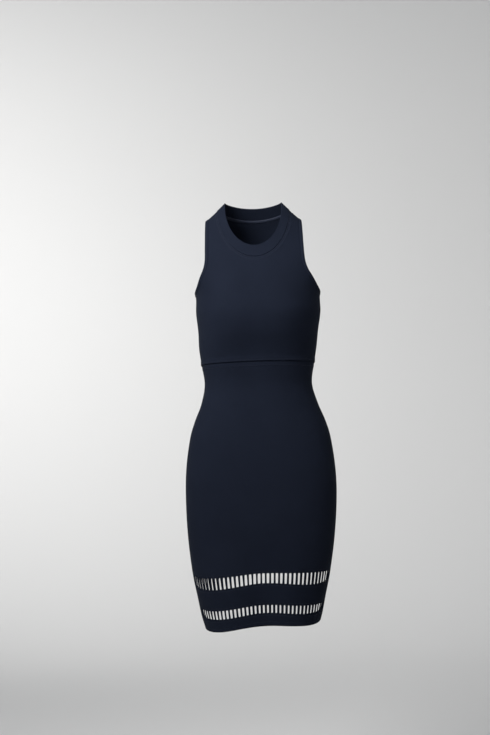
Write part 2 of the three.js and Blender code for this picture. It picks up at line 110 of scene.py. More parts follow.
ARMHOLE_SHOULDER = 101
ARMHOLE = [  # height, half width at the front, half width at the back
    (-51, 102.3, 98.5),
    (-80, 102.8, 98.2),
    (-104, 103.6, 99.5),
    (-118, 105.6, 102),
    (-130, 109.8, 107),
    (-142, 116.2, 113.5),
    (-153, 121.5, 119.5),
    (-163, 126.3, 125),
]
UNDERARM = -174
CURVE_UNIT = 130  # length of one radian in the armhole curve's plane

# Seams that run round the body: height, tilt, rise at the front, further fall at the back, dip midway to
# the right and to the left side, turn to the right in degrees at the front and back
UNDERBUST = (-324.5, 2, 6.5, 0, 0, 0, 0)
UPPER_SLOT_TOP = (-759.5, 2.5, 6, 12, 7.5, 2, 0)
UPPER_SLOT_FOOT = (-782.2, 5.1, 8.3, 10.5, 9, 7.4, -1)
LOWER_SLOT_TOP = (-826, 5.1, 7, 12.7, 7.9, 5.9, -1)
LOWER_SLOT_FOOT = (-843.9, 6.1, 8.7, 12.3, 8.2, 7, -2.7)
HEM = (-869.8, 7.8, 9.3, 12, 7.5, 8, -2.7)
TURN_EASE, FALL_EASE = 0.15, 0.6

# Grid sizes
NECK_CELLS = (120, 88)  # front, back
SHOULDER_CELLS = 8
ARMHOLE_CELLS = 40
SIDE_CELLS = 40
PANEL_CELLS = 110
SKIRT_ROWS = 110
UNDERBUST_FINE, NECK_FINE = (4, 5), (6, 3)  # rows beside the seam, and the parts each is cut into
BAND_ROWS = 14
NECKBAND_ROWS = 12
BINDING_ROWS = 5
EDGE_STEPS = 4
CUT_STEPS = 721
RING_CELLS = 400
MERGED_SHARE = 1e-6  # below this share of thickness both faces meet
LAST_PLACE = 0.99999
HEIGHT_ROUNDS = 20
HALVINGS = 40

# Bars of the ladders: how much wider each half gets at the ends, how soon that fades, and the places of
# the rows between the ends
BAR_FLARE, BAR_FLARE_FADE = 0.5, 0.05
BAR_STEPS = (0.02, 0.05, 0.1, 0.2, 0.35, 0.5, 0.65, 0.8, 0.9, 0.95, 0.98)

# Knit and stitches
WALE = 1.25  # width of one column of knit stitches
COURSE = 0.95  # height of one row of knit stitches
SLANT, CROWN_POWER, YARN_PART = 1.5, 3.0, 0.6
LINT_SCALE, TONE_SCALE, TWIST_SCALE = 900.0, 14.0, 900.0
STITCH_PITCH, STITCH_LENGTH, THREAD = 3.1, 2.3, 0.42
BEAD_RINGS, BEAD_SIDES, BEAD_FLATNESS = np.array([-0.75, -0.3, 0.3, 0.75]), 6, 0.8
NECK_STITCHES = (1.8, 6.2)  # distances from the neckband's seam
BINDING_STITCHES, HEM_STITCHES = 1.7, 7  # distances from the binding's seam and from the hem
LIP_STITCHES, LADDER_STITCHES = 3.6, 2  # distances above the underbust seam and from the ladder seams

# Overlocked seam edges: thickness, step along them, cells across, length of a loop and how it swells,
# depth below the form, and from where to where they lie across each seam
SEAM_EDGE, SEAM_EDGE_STEP, SEAM_EDGE_CELLS, SEAM_LOOP, LOOP_SWELL = 0.9, 1.07, 5, 3.2, 0.22
ON_CLOTH, ON_HEM = CLOTH - 0.05, CLOTH + 0.35
NECK_EDGE, BINDING_EDGE, UNDERBUST_EDGE = (-5.5, 1), (-5, 1), (-6, 1)
EDGE_BELOW, EDGE_ABOVE, EDGE_BOTH = (-5, 1), (-1, 5), (-3, 3)


def bump(offset, spread):
    """Bell curve: e to the power of minus half the squared offset in spreads."""
    return np.exp(-0.5 * (offset / spread) ** 2)


def smoothstep(x, start, end):
    """Zero before start, one after end, and 3t² - 2t³ between them."""
    t = np.clip((x - start) / (end - start), 0, 1)
    return t * t * (3 - 2 * t)


def section_value(column, z):
    """Smooth curve through one column of the section table: a cubic between each two rows, whose slope
    at a row is that of the chord between its neighbours."""
    heights, values = SECTIONS[:, 0], SECTIONS[:, column]
    rows = np.arange(len(heights))
    below, above = np.maximum(rows - 1, 0), np.minimum(rows + 1, len(rows) - 1)
    slopes = (values[above] - values[below]) / (heights[above] - heights[below])
    z = np.clip(z, heights[0], heights[-1])
    i = np.clip(np.searchsorted(heights, z, side="right") - 1, 0, len(rows) - 2)
    span = heights[i + 1] - heights[i]
    t = (z - heights[i]) / span
    return (
        values[i] * (2 * t**3 - 3 * t**2 + 1)
        + values[i + 1] * (3 * t**2 - 2 * t**3)
        + slopes[i] * span * (t**3 - 2 * t**2 + t)
        + slopes[i + 1] * span * (t**3 - t**2)
    )


def rounded_radius(a, power):
    """Radius of a rounded square of half size 1 in the direction a, a superellipse."""
    return (np.abs(np.sin(a)) ** power + np.abs(np.cos(a)) ** power) ** (-1 / power)


def offset_across(a, z):
    """Distance of a section's point from its middle, across the width."""
    return section_value(WIDTH, z) * rounded_radius(a, section_value(POWER, z)) * np.sin(a)


def ridge_swing(across):
    """Cosine of the place across the shoulders, from 1 at the middle to -1 at the ridge's reach."""
    return np.cos(np.pi * np.minimum(np.abs(across), RIDGE_REACH) / RIDGE_REACH)


def ridge_height(across):
    """Height of the ridge over the shoulders: its middle height plus the swing."""
    return RIDGE_MIDDLE + RIDGE_SWING * ridge_swing(across)


def ridge_round(across):
    """Radius of the rounding beside the ridge, which grows with the swing."""
    return RIDGE_ROUND + RIDGE_ROUND_SWING * ridge_swing(across)


def drop_at(w, across):
    """Height below the ridge after a length w of cloth: a quarter ellipse, then straight down."""
    rounding = ridge_round(across)
    turned = np.minimum(w / rounding, QUARTER)
    straight = w - rounding * (QUARTER - 1)
    return np.where(w < rounding * QUARTER, rounding * (1 - np.cos(turned)), straight)


def length_at(drop, across):
    """Length of cloth down to a height below the ridge, the other way round."""
    rounding = ridge_round(across)
    bent = rounding * np.arccos(1 - np.clip(drop, 0, rounding) / rounding)
    return np.where(drop >= rounding, drop + rounding * (QUARTER - 1), bent)


def form_point(spots):
    """Points of the form for spots (a, w): a is the direction from the front round the wearer's left,
    and w the length down from the ridge over the shoulders. The height is found by repeating: height is
    the ridge's height at the point's place across, less the drop."""
    a, w = spots[..., 0], spots[..., 1]
    z = -w
    for _ in range(HEIGHT_ROUNDS):
        across = offset_across(a, z)
        z = ridge_height(across) - drop_at(w, across)
    facing = rounded_radius(a, section_value(POWER, z)) * np.cos(a)
    ahead = np.maximum(facing, 0)
    x = section_value(LEAN, z) + across
    y = -np.where(facing > 0, section_value(FRONT, z), section_value(BACK, z)) * facing
    sides = bump(across - BUST_X, BUST_WIDE) + bump(across + BUST_X, BUST_WIDE)
    y -= BUST_OUT * ahead * sides * bump(z - BUST_Z, BUST_HIGH)
    wave = sum(out * bump(x - place, spread) for place, spread, out in WAVES)
    y -= smoothstep(-z, -WAVES_START, -WAVES_FULL) * ahead * wave
    y = RIDGE_Y + (y - RIDGE_Y) * np.sin(np.minimum(w / ridge_round(across), QUARTER))
    return np.stack([x, y, z], -1)


def directions_at(spots):
    """How the form runs at each spot, by small steps to both sides: along a, along w, and outwards."""
    turn, step = 0.004, 0.5
    along_a = form_point(spots + (turn, 0)) - form_point(spots - (turn, 0))
    along_w = form_point(spots + (0, step)) - form_point(spots - (0, step))
    outward = np.cross(along_w, along_a)
    outward /= np.linalg.norm(outward, axis=-1, keepdims=True)
    return along_a / (2 * turn), along_w / (2 * step), outward


def spot_at_height(a, z):
    """Spot with a direction and a height."""
    across = offset_across(a, z)
    return np.stack([a, length_at(ridge_height(across) - z, across)], -1)


def spot_in_view(across, z, at_back):
    """Spot from where it shows in the front view, on the front or the back of the form."""
    power = section_value(POWER, z)
    share = across / section_value(WIDTH, z)
    facing = np.maximum(1 - np.abs(share) ** power, 0) ** (1 / power)
    a = np.arctan2(share, facing)
    a = np.pi - a if at_back else a
    return np.stack([a, length_at(ridge_height(across) - z, across)], -1)


def even_cuts(curve, cells):
    """Parameters that cut a curve of spots into equal lengths, by its running length."""
    t = np.linspace(0, 1, CUT_STEPS)
    steps = np.linalg.norm(np.diff(form_point(curve(t)), axis=0), axis=1)
    lengths = np.concatenate([[0], np.cumsum(steps)])
    return np.interp(np.linspace(0, lengths[-1], cells + 1), lengths, t)


def moved_across(spots, run_a, run_w, length):
    """Spots moved by a length across the direction in which an edge runs, along the form's surface."""
    along_a, along_w, outward = directions_at(spots)
    run = along_a * run_a[..., None] + along_w * run_w[..., None]
    aim = np.cross(outward, run)
    aim *= np.asarray(length)[..., None] / np.linalg.norm(aim, axis=-1, keepdims=True)
    aa, aw, ww = (along_a**2).sum(-1), (along_a * along_w).sum(-1), (along_w**2).sum(-1)
    by_a, by_w = (aim * along_a).sum(-1), (aim * along_w).sum(-1)
    scale = 1 / (aa * ww - aw * aw)
    return spots + np.stack([(ww * by_a - aw * by_w) * scale, (aa * by_w - aw * by_a) * scale], -1)


def moved_round(spots, length):
    """Spots moved round the body by a length."""
    along_a = directions_at(spots)[0]
    return spots + np.stack([length / np.linalg.norm(along_a, axis=-1), 0 * spots[..., 1]], -1)


def seam_spot(level, a, above=0.0):
    """Spots on a seam that runs round the body. Its height is its level, plus the tilt across and the
    rise at the front, less the dip towards each side and the further fall at the back. The turn fades
    towards the sides, with the share c / √(c² + e²), c the cosine of the direction and e its ease. The
    fall's share is (1 + e²)·c² / (c² + e²)."""
    z, tilt, rise, fall, dip_right, dip_left, turn = level
    turned = a + math.radians(turn) * np.cos(a) / np.hypot(np.cos(a), TURN_EASE)
    facing, sideways = np.cos(turned), np.sin(turned)
    dip = np.where(sideways < 0, dip_right, dip_left) * np.sin(2 * turned) ** 2
    share = (1 + FALL_EASE**2) * facing**2 / (facing**2 + FALL_EASE**2)
    height = z + tilt * sideways + rise * facing - dip - np.where(facing < 0, fall * share, 0)
    return spot_at_height(turned, height + above)


def raised(level, height):
    """A seam moved up by a height."""
    return (level[0] + height, *level[1:])


def neck_spot(band, t, at_back):
    """Spots of the neck curves, from one shoulder (0) to the other (1), for a place in the neckband from
    its free edge (0) to its seam (1). The front is an ellipse that ends where it meets the ridge, and
    the back a shallow parabola."""
    band, t = np.broadcast_arrays(np.asarray(band, float), np.asarray(t, float))
    half_width = NECK_HALF_WIDTH + NECK_WIDEN * band
    drop = NECK_DROP + NECK_DEEPEN * band
    low, high = np.full(t.shape, QUARTER / 2), np.full(t.shape, np.pi * 0.75)
    for _ in range(HALVINGS):
        middle = (low + high) / 2
        under = NECK_CENTRE - drop * np.cos(middle) < ridge_height(half_width * np.sin(middle))
        low, high = np.where(under, middle, low), np.where(under, high, middle)
    side = 2 * t - 1
    if not at_back:
        angle = low * side
        return spot_in_view(half_width * np.sin(angle), NECK_CENTRE - drop * np.cos(angle), False)
    end = half_width * np.sin(low)
    middle_height = NECK_BACK - NECK_BACK_DEEPEN * band
    across = -np.sin(QUARTER * side)
    height = middle_height + (ridge_height(end) - middle_height) * across**2
    return spot_in_view(end * across, height, True)


def armhole_curve():
    """The spots that the wearer's left armhole passes, from the shoulder down the front, under the arm
    and up the back."""
    table = np.array(ARMHOLE)
    shoulder = spot_in_view(np.array([ARMHOLE_SHOULDER]), ridge_height(ARMHOLE_SHOULDER), False)
    front = spot_in_view(table[:, 1], table[:, 0], False)
    under = spot_at_height(np.array([QUARTER]), np.array([UNDERARM]))
    back = spot_in_view(table[:, 2], table[:, 0], True)[::-1]
    end = np.array([[np.pi - shoulder[0, 0], 0]])
    return np.concatenate([shoulder, front, under, back, end])


ARMHOLE_SPOTS = armhole_curve()


def armhole_spot(t):
    """Spots on the armhole for t from 0 to 1: a centripetal Catmull-Rom curve, whose steps grow with the
    square root of the distance between its points."""
    points = ARMHOLE_SPOTS * (CURVE_UNIT, 1)
    points = np.concatenate([[2 * points[0] - points[1]], points, [2 * points[-1] - points[-2]]])
    place = np.clip(np.asarray(t, float), 0, 1) * (len(points) - 3)
    i = np.minimum(place.astype(int), len(points) - 4)
    s = (place - i)[..., None]
    p0, p1, p2, p3 = (points[i + k] for k in range(4))
    pairs = ((p0, p1), (p1, p2), (p2, p3))
    d0, d1, d2 = (np.linalg.norm(q - p, axis=-1, keepdims=True) ** 0.5 for p, q in pairs)
    start = ((p1 - p0) / d0 - (p2 - p0) / (d0 + d1) + (p2 - p1) / d1) * d1
    end = ((p2 - p1) / d1 - (p3 - p1) / (d1 + d2) + (p3 - p2) / d2) * d1
    curve = p1 + start * s + (3 * (p2 - p1) - 2 * start - end) * s**2 + (2 * (p1 - p2) + start + end) * s**3
    return curve / (CURVE_UNIT, 1)


FRONT_CUTS = even_cuts(lambda t: armhole_spot(t / 2), ARMHOLE_CELLS) / 2
BACK_CUTS = (1 + even_cuts(lambda t: armhole_spot((1 + t) / 2), ARMHOLE_CELLS)) / 2


def armhole_inset(t, inset):
    """The armhole moved into the cloth by a length. Its ends keep to the shoulder line, and its middle
    keeps to the side seam."""
    step = 0.002
    spots = armhole_spot(t)
    run = armhole_spot(np.minimum(t + step, 1)) - armhole_spot(np.maximum(t - step, 0))
    moved = moved_across(spots, run[:, 0], run[:, 1], np.full(len(t), -float(inset)))
    moved[np.abs(t - 0.5) < 1e-9, 0] = QUARTER
    shoulder = ARMHOLE_SPOTS[:1]
    along_ridge = np.linalg.norm(directions_at(shoulder)[0])
    a = shoulder[0, 0] - inset / along_ridge
    moved[t <= 0] = (a, 0)
    moved[t >= 1] = (np.pi - a, 0)
    return moved


def mirrored(spots):
    """Spots on the body's other side: the direction changes its sign."""
    return spots * (-1, 1)


def around_back(spots):
    """The same spots with directions that are one whole turn larger."""
    return spots + (2 * np.pi, 0)


def half_cuts(level, cells, at_back):
    """Directions along a seam that cut its front or back half into equal lengths."""
    start = QUARTER if at_back else -QUARTER
    return start + np.pi * even_cuts(lambda t: seam_spot(level, start + np.pi * t), cells)


def seam_row(level, cuts, above):
    """Spots of a seam's half, with a little space left at the two side seams."""
    row = seam_spot(level, cuts, above)
    row[:1] = moved_round(row[:1], SEAM_GAP / 2)
    row[-1:] = moved_round(row[-1:], -SEAM_GAP / 2)
    return row


def spread(start, end, cells):
    """Even places on a straight line between two spots, without the last."""
    return np.linspace(0, 1, cells, endpoint=False)[:, None] * (end - start) + start


def bodice_spots(at_back):
    """Grid of spots of a bodice half. It blends the underbust seam into the shoulder and neck line, and
    adds what the side seam and armhole stand out from the straight line between their ends, fading
    with the square of the distance to the other side."""
    neck_cells = NECK_CELLS[at_back]
    cells = neck_cells + 2 * SHOULDER_CELLS
    foot = seam_row(UNDERBUST, half_cuts(UNDERBUST, cells, at_back), SEAM_GAP / 2)
    edge = armhole_inset(BACK_CUTS if at_back else FRONT_CUTS[::-1], BINDING_WIDTH + SEAM_GAP)
    edge[:1] = moved_round(edge[:1], SEAM_GAP / 2 if at_back else -SEAM_GAP / 2)
    edge[-1, 1] = SEAM_GAP / 2
    side = np.concatenate([spread(foot[0 if at_back else -1], edge[0], SIDE_CELLS), edge])
    other = around_back(mirrored(side)) if at_back else mirrored(side)
    first, last = (side, other) if at_back else (other, side)
    neck_band = 1 + SEAM_GAP / NECKBAND_WIDTH
    cuts = even_cuts(lambda t: neck_spot(neck_band, t, at_back), neck_cells)
    neck = neck_spot(neck_band, cuts, at_back)
    neck[:, 1] = np.maximum(neck[:, 1], SEAM_GAP / 2)
    top = np.concatenate([
        spread(first[-1], neck[0], SHOULDER_CELLS),
        neck[:-1],
        spread(neck[-1], last[-1], SHOULDER_CELLS),
        last[-1:],
    ])
    steps = np.linalg.norm(np.diff(form_point(side), axis=0), axis=1)
    v = np.concatenate([[0], np.cumsum(steps)])[:, None, None] / steps.sum()
    u = np.linspace(0, 1, cells + 1)[None, :, None]
    first_extra = (first[:, None] - first[0] - v * (first[-1] - first[0])) * (1 - u) ** 2
    last_extra = (last[:, None] - last[0] - v * (last[-1] - last[0])) * u**2
    spots = foot + v * (top - foot) + first_extra + last_extra
    spots[:, 0], spots[:, -1] = first, last
    return spots


def stretch_spots(upper, lower, at_back, rows):
    """Grid of spots of a plain stretch between two seams, straight from one to the other."""
    top = seam_row(upper, half_cuts(upper, PANEL_CELLS, at_back), -SEAM_GAP / 2)
    lift = 0 if lower is HEM else SEAM_GAP / 2
    foot = seam_row(lower, half_cuts(lower, PANEL_CELLS, at_back), lift)
    return foot + np.linspace(0, 1, rows + 1)[:, None, None] * (top - foot)


def edge_rows(spots, depth):
    """Adds rows near the first and last row of a grid of spots, and gives each row's share of the wall's
    thickness there: rows lie at depth·(1 - cos θ) from the border and have the share sin θ, so that the
    edge is a half round."""
    angle = np.linspace(0, QUARTER, EDGE_STEPS + 1)
    points = form_point(spots)
    shares = []
    for border, inside in ((0, 1), (-1, -2)):
        gap = np.linalg.norm(points[border] - points[inside], axis=-1).mean()
        shares.append(depth * (1 - np.cos(angle)) / gap)
    foot = spots[0] + shares[0][:, None, None] * (spots[1] - spots[0])
    top = spots[-1] + shares[1][:, None, None] * (spots[-2] - spots[-1])
    sine = np.sin(angle)
    share = np.concatenate([sine, np.ones(len(spots) - 2), sine[::-1]])
    return np.concatenate([foot, spots[1:-1], top[::-1]]), share


def rounded_grid(spots, depth, ring=False):
    """A grid with half round edges: rows are added at the top and foot, and columns at the two sides
    unless it is a ring. The share of thickness is the product of both."""
    spots, by_row = edge_rows(spots, depth)
    if ring:
        return spots, by_row[:, None] * np.ones(spots.shape[1])
    turned, by_column = edge_rows(spots.swapaxes(0, 1), depth)
    return turned.swapaxes(0, 1), by_row[:, None] * by_column


def split_rows(spots, cells, parts):
    """The grid with its first cells cut into more rows each."""
    t = np.append(np.linspace(0, cells, cells * parts, endpoint=False), np.arange(cells, len(spots)))
    i = np.minimum(t.astype(int), len(spots) - 2)
    s = (t - i)[:, None, None]
    return spots[i] * (1 - s) + spots[i + 1] * s


LENGTHS_A = np.linspace(-np.pi, np.pi, 181)
LENGTHS_W = np.linspace(0, 1060, 160)


def round_lengths():
    """Table of lengths round the body from the front's middle, for directions and lengths down."""
    grid = np.stack(np.meshgrid(LENGTHS_A, LENGTHS_W), -1)
    steps = np.linalg.norm(np.diff(form_point(grid), axis=1), axis=-1)
    table = np.concatenate([np.zeros((len(LENGTHS_W), 1)), np.cumsum(steps, axis=1)], axis=1)
    return table - table[:, len(LENGTHS_A) // 2][:, None]


ROUND_LENGTHS = round_lengths()


def cloth_map(spots):
    """Place on the flat cloth in metres: the length round the body from the front's middle, read between
    the table's entries and running on past the back's middle, and the height up the cloth."""
    a, w = spots[..., 0], spots[..., 1]
    beyond = a > np.pi
    i = np.clip((a - math.tau * beyond + np.pi) / math.tau, 0, LAST_PLACE) * (len(LENGTHS_A) - 1)
    j = np.clip(w / LENGTHS_W[-1], 0, LAST_PLACE) * (len(LENGTHS_W) - 1)
    column, row = i.astype(int), j.astype(int)
    s, t = i - column, j - row

    def between(table):
        near = table[row, column] * (1 - s) + table[row, column + 1] * s
        far = table[row + 1, column] * (1 - s) + table[row + 1, column + 1] * s
        return near * (1 - t) + far * t

    girth = ROUND_LENGTHS[:, -1:] - ROUND_LENGTHS[:, :1] + 0 * ROUND_LENGTHS
    return np.stack([between(ROUND_LENGTHS) + beyond * between(girth), -w], -1) * MM


def band_map(points):
    """Place on a band in metres, for a ring of points: the mean running length, fitted to whole knit
    columns so that the pattern meets itself, and the height from the first row."""
    closed = np.concatenate([points, points[:, :1]], axis=1)
    steps = np.linalg.norm(np.diff(closed, axis=1), axis=-1).mean(0)
    along = np.concatenate([[0], np.cumsum(steps)])
    along *= round(along[-1] / WALE) * WALE / along[-1]
    rises = np.linalg.norm(np.diff(closed, axis=0), axis=-1).mean(1)
    up = np.concatenate([[0], np.cumsum(rises)])
    return np.stack(np.broadcast_arrays(along[None, :], up[:, None]), -1) * MM


def mesh_object(name, vertices, faces, corner_map=None, values=None):
    """Object from vertices in millimetres and faces, smoothly shaded. A knit piece also has a place on
    the cloth for each face corner and a value for each vertex."""
    mesh = bpy.data.meshes.new(name)
    mesh.from_pydata(vertices * MM, [], faces)
    if corner_map is not None:
        layer = mesh.uv_layers.new(name="cloth")
        layer.data.foreach_set("uv", corner_map.astype(np.float32).ravel())
    if values is not None:
        attribute = mesh.attributes.new("edge", "FLOAT", "POINT")
        attribute.data.foreach_set("value", values.astype(np.float32))
    mesh.shade_smooth()
    mesh.update()
    obj = bpy.data.objects.new(name, mesh)
    bpy.context.scene.collection.objects.link(obj)
    return obj


def shell(name, spots, share, thickness, out=0.0, ring=False, hole=None):
    """Closed knit shell on a grid of spots. The outer face stands out from the form, and the inner face
    lies one thickness inside it. Both move to the middle of the wall by the share of thickness, and
    meet where the share is 0."""
    rows, columns = share.shape
    points = form_point(spots)
    outward = directions_at(spots)[2]
    middle = out - thickness / 2
    half = thickness / 2 * share
    outer = points + outward * (middle + half)[..., None]
    inner = points + outward * (middle - half)[..., None]
    flat = band_map(outer) if ring else cloth_map(spots)
    grid = np.arange(rows * columns).reshape(rows, columns)
    under = np.where(share < MERGED_SHARE, grid, grid + rows * columns)
    if ring:
        grid, under = (np.concatenate([g, g[:, :1]], axis=1) for g in (grid, under))
    filled = np.ones((rows - 1, grid.shape[1] - 1), bool) if hole is None else ~hole

    def corners(table):
        """The four corners of each filled cell, anticlockwise from outside."""
        around = (table[:-1, :-1], table[:-1, 1:], table[1:, 1:], table[1:, :-1])
        return np.stack([corner[filled] for corner in around], 1)

    flat_corners = np.stack([corners(flat[..., k]) for k in (0, 1)], -1)
    faces = np.concatenate([corners(grid), corners(under)[:, ::-1]])
    corner_map = np.concatenate([flat_corners, flat_corners[:, ::-1]])
    vertices = np.concatenate([outer.reshape(-1, 3), inner.reshape(-1, 3)])
    used, faces = np.unique(faces, return_inverse=True)
    edge = np.tile(1 - share.ravel(), 2)[used]
    return mesh_object(name, vertices[used], faces.reshape(-1, 4).tolist(), corner_map, edge)


def line_relief(offset, line):
    """How far a raised line stands out at an offset: its height times a bell curve round its place."""
    out, place, wide = line
    return out * bump(offset - place, wide)


def neck_distance(points):
    """Rough distance outside the neckband's seam: how much larger the point's ellipse is, times its
    mean radius."""
    half_width, drop = NECK_HALF_WIDTH + NECK_WIDEN, NECK_DROP + NECK_DEEPEN
    radius = np.hypot(points[..., 0] / half_width, (NECK_CENTRE - points[..., 2]) / drop)
    return (radius - 1) * NECK_MEAN_RADIUS


def bodice_relief(spots, at_back):
    """How far the bodice stands out: the lip of its lower edge and, at the front, a soft ridge over the
    seam allowance beside the neckband and small puckers, a sine that fades away from that seam."""
    points = form_point(spots)
    up = seam_spot(UNDERBUST, spots[..., 0])[..., 1] - spots[..., 1]
    lip = LIP_OUT * (1 - smoothstep(up, LIP_HEIGHT, LIP_HEIGHT + LIP_FADE)) + line_relief(up, LIP_BEAD)
    if at_back:
        return lip
    beyond = neck_distance(points)
    ridge = line_relief(beyond, NECK_RIDGE) + line_relief(beyond, NECK_GROOVE)
    turned = np.arctan2(points[..., 0], NECK_CENTRE - points[..., 2])
    left, right = (bump(turned - side, PUCKER_WIDE) for side in (PUCKER_SIDE, -PUCKER_SIDE))
    waves = np.sin(turned * PUCKER_WAVES) * (left + PUCKER_RIGHT * right)
    return lip + ridge + PUCKER_OUT * waves * np.exp(-np.abs(beyond) / PUCKER_FADE)


def skirt_relief(spots):
    """How far the skirt stands out: the ridge of the seam allowance below the underbust seam, and a slight
    hollow above it."""
    down = spots[..., 1] - seam_spot(UNDERBUST, spots[..., 0])[..., 1]
    return line_relief(down, UNDERBUST_RIDGE) + line_relief(down, UNDERBUST_HOLLOW)


def ladder_grid(levels, slot_width, slots, at_back):
    """Grid of a ladder, its share of thickness and its slots. Each bar has a half round section and is a
    little wider at both ends, and a bar of half the width lies at each side seam. The strips over and
    under the slots have half round edges. The share is the larger of the strip's and the bar's."""
    top, slot_top, slot_foot, foot = levels
    angle = np.linspace(0, QUARTER, EDGE_STEPS + 1)
    ease, sine = 1 - np.cos(angle), np.sin(angle)
    across_bar = np.concatenate([ease - 1, 1 - ease[-2::-1]])
    bar_share = np.concatenate([sine, sine[-2::-1]])
    bars = len(bar_share)

    def seam_columns(level, above, extra):
        """Spots along a seam: the columns of every bar and two columns in every slot. Extra widens the
        bars."""
        cuts = half_cuts(level, slots, at_back)
        run = form_point(seam_spot(level, cuts[:2]))
        pitch = np.linalg.norm(run[1] - run[0])
        half = (1 - slot_width / pitch) / 2 + extra / pitch
        middles, halves = np.arange(slots + 1.0), np.full(slots + 1, half)
        middles[[0, -1]] += (half / 2, -half / 2)
        halves[[0, -1]] /= 2
        on_bars = middles[:, None] + halves[:, None] * across_bar
        thirds = np.arange(slots)[:, None] + half + (1 - 2 * half) * np.array([1, 2]) / 3
        places = np.concatenate([np.concatenate([on_bars[:-1], thirds], axis=1).ravel(), on_bars[-1]])
        row = seam_spot(level, np.interp(places, np.arange(slots + 1), cuts), above)
        row[:1] = moved_round(row[:1], SEAM_GAP / 2)
        row[-1:] = moved_round(row[-1:], -SEAM_GAP / 2)
        return row

    column_share = np.append(np.tile(np.append(bar_share, [0, 0]), slots), bar_share)
    slot_cell = np.arange(bars + 2) >= bars - 1
    in_slot = np.append(np.tile(slot_cell, slots), np.zeros(bars - 1, bool))
    sides = np.ones(len(column_share))
    sides[:len(sine)], sides[-len(sine):] = sine, sine[::-1]

    edge, gap = CLOTH / 2, SEAM_GAP / 2
    strip = np.concatenate([edge * ease, [LADDER_STRIP / 2], LADDER_STRIP - edge * ease[::-1]])
    strip_share = np.concatenate([sine, [1], sine[::-1]])
    by_strip = np.where(
        strip[:, None] < LADDER_STRIP / 2,
        strip_share[:, None],
        np.maximum(column_share, strip_share[:, None]),
    ) * sides
    lift = gap + strip * (1 - gap / LADDER_STRIP)
    foot_rows = [seam_columns(foot, above, BAR_FLARE) for above in lift]
    top_rows = [seam_columns(top, -below, BAR_FLARE) for below in lift[::-1]]
    bar_rows = []
    for v in BAR_STEPS:
        wider = BAR_FLARE * (math.exp(-v / BAR_FLARE_FADE) + math.exp((v - 1) / BAR_FLARE_FADE))
        low, high = (seam_columns(level, 0, wider) for level in (slot_foot, slot_top))
        bar_rows.append(low + v * (high - low))
    spots = np.stack(foot_rows + bar_rows + top_rows)
    share = np.concatenate([by_strip, np.tile(column_share, (len(BAR_STEPS), 1)), by_strip[::-1]])
    hole = np.zeros((len(spots) - 1, spots.shape[1] - 1), bool)
    hole[len(strip) - 1:len(strip) + len(BAR_STEPS)] = in_slot
    return spots, share, hole


def steps_along(line, spacing, closed=False):
    """Even steps along a line of spots: the line's running length, and each step's length, point,
    direction along and direction outwards, read between those of the line."""
    points, outward = form_point(line), directions_at(line)[2]
    if closed:
        points, outward = (np.concatenate([values, values[:1]]) for values in (points, outward))
    running = np.append(0, np.cumsum(np.linalg.norm(np.diff(points, axis=0), axis=1)))
    count = int(running[-1] / spacing)
    places = (np.arange(count) + 0.5) * running[-1] / count
    path, normal = (
        np.stack([np.interp(places, running, values[:, k]) for k in range(3)], -1)
        for values in (points, outward)
    )
    along = np.roll(path, -1, axis=0) - np.roll(path, 1, axis=0) if closed else np.gradient(path, axis=0)
    normal -= along * (along * normal).sum(-1, keepdims=True) / (along**2).sum(-1, keepdims=True)
    along, normal = (v / np.linalg.norm(v, axis=-1, keepdims=True) for v in (along, normal))
    return running, places, path, along, normal


def seam_edge(line, reach, depth=ON_CLOTH, closed=False):
    """Overlocked seam edge on the inside of the cloth: a strip along a line of spots, which reaches from
    one distance to another across it. Its section is a half ellipse, and its thickness swells at each
    loop of thread. It lies depth below the form. Gives its vertices, its faces and its open ends."""
    start, end = reach
    _, places, path, along, outward = steps_along(line, SEAM_EDGE_STEP, closed)
    across = np.cross(outward, along)
    turn = np.linspace(0, np.pi, SEAM_EDGE_CELLS + 1)
    place = (start + end) / 2 - (end - start) / 2 * np.cos(turn)
    height = np.sqrt(np.sin(turn).clip(0))
    loop = 1 + LOOP_SWELL * np.cos(math.tau * places / SEAM_LOOP)[:, None]
    under = path[:, None] + across[:, None] * place[:, None]
    top = under - outward[:, None] * depth
    inner = under - outward[:, None] * (depth + SEAM_EDGE * height * loop)[..., None]
    section = np.concatenate([top, inner[:, -2:0:-1]], axis=1)
    rows, columns = section.shape[:2]
    grid = np.arange(rows * columns).reshape(rows, columns)
    grid = np.concatenate([grid, grid[:, :1]], axis=1)
    if closed:
        grid = np.concatenate([grid, grid[:1]])
    faces = np.stack([grid[:-1, :-1], grid[1:, :-1], grid[1:, 1:], grid[:-1, 1:]], -1).reshape(-1, 4)
    return section.reshape(-1, 3), faces, None if closed else (grid[0, :-1], grid[-1, :-1][::-1])


def seam_edges(name, *strips):
    """One object from several overlocked seam edges, with the open ones closed at both ends."""
    vertices, faces, start = [], [], 0
    for points, corners, ends in strips:
        vertices.append(points)
        faces += (corners + start).tolist()
        faces += [] if ends is None else [(end + start).tolist() for end in ends]
        start += len(points)
    return mesh_object(name, np.concatenate(vertices), faces)


